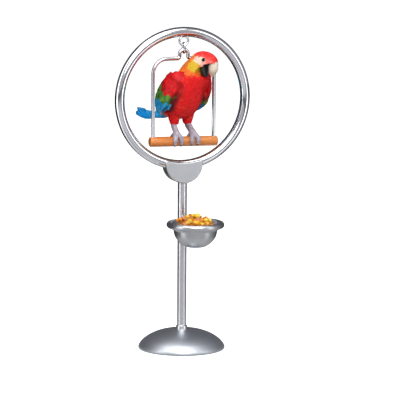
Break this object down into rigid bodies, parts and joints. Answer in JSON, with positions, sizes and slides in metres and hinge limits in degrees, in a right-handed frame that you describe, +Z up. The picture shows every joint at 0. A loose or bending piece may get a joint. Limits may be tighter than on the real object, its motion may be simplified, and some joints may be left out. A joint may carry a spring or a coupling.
{
  "type": "toy macaw on swing stand",
  "caption": "Painted toy macaw gripping a wooden perch that swings from a link inside a metal ring, on a pole stand with a domed base and a bowl of food.",
  "frame": {"origin": "middle of the base's underside, on the floor", "axes": "+Z up, front of the stand at -Y, ring and perch lie along X"},
  "size_m": [0.1, 0.1173, 0.227],
  "materials": {
    "polished_metal": "polished",
    "satin_metal": "satin",
    "perch_wood": "stained and lacquered",
    "food_plastic": "moulded, painted yellow and orange",
    "red_paint": "satin paint over moulded plastic",
    "orange_paint": "satin paint over moulded plastic",
    "bone_paint": "satin paint over moulded plastic",
    "black_paint": "gloss paint over moulded plastic",
    "wing_paint": "red, green and blue satin paint",
    "blue_paint": "satin paint over moulded plastic",
    "grey_paint": "satin paint over moulded plastic"
  },
  "bodies": {
    "stand": {"stand_base": "satin_metal", "stand_pole": "polished_metal", "stand_ring": "polished_metal", "stand_holder": "satin_metal", "stand_eye": "polished_metal", "bowl": "satin_metal", "bowl_bracket": "satin_metal", "food": "food_plastic"},
    "link": {"hook_link": "polished_metal"},
    "swing": {"swing_wire": "polished_metal", "perch": "perch_wood", "trunk": "red_paint", "neck": "orange_paint", "head": "red_paint", "bill_upper": "bone_paint", "bill_lower": "black_paint", "eye_right": "black_paint", "eye_left": "black_paint", "wing_right": "wing_paint", "wing_left": "wing_paint", "tail": "blue_paint", "thigh_right": "red_paint", "thigh_left": "red_paint", "foot_right": "grey_paint", "foot_left": "grey_paint"}
  },
  "joints": [
    {"name": "link_hang", "type": "hinge", "parent": "stand", "child": "link", "pos_m": [0.0006, 0, 0.2141], "axis": [1, 0, 0], "range_deg": [-25, 25]},
    {"name": "swing_hang", "type": "hinge", "parent": "link", "child": "swing", "pos_m": [0.0006, 0, 0.2088], "axis": [0, 1, 0], "range_deg": [-1, 1]}
  ]
}
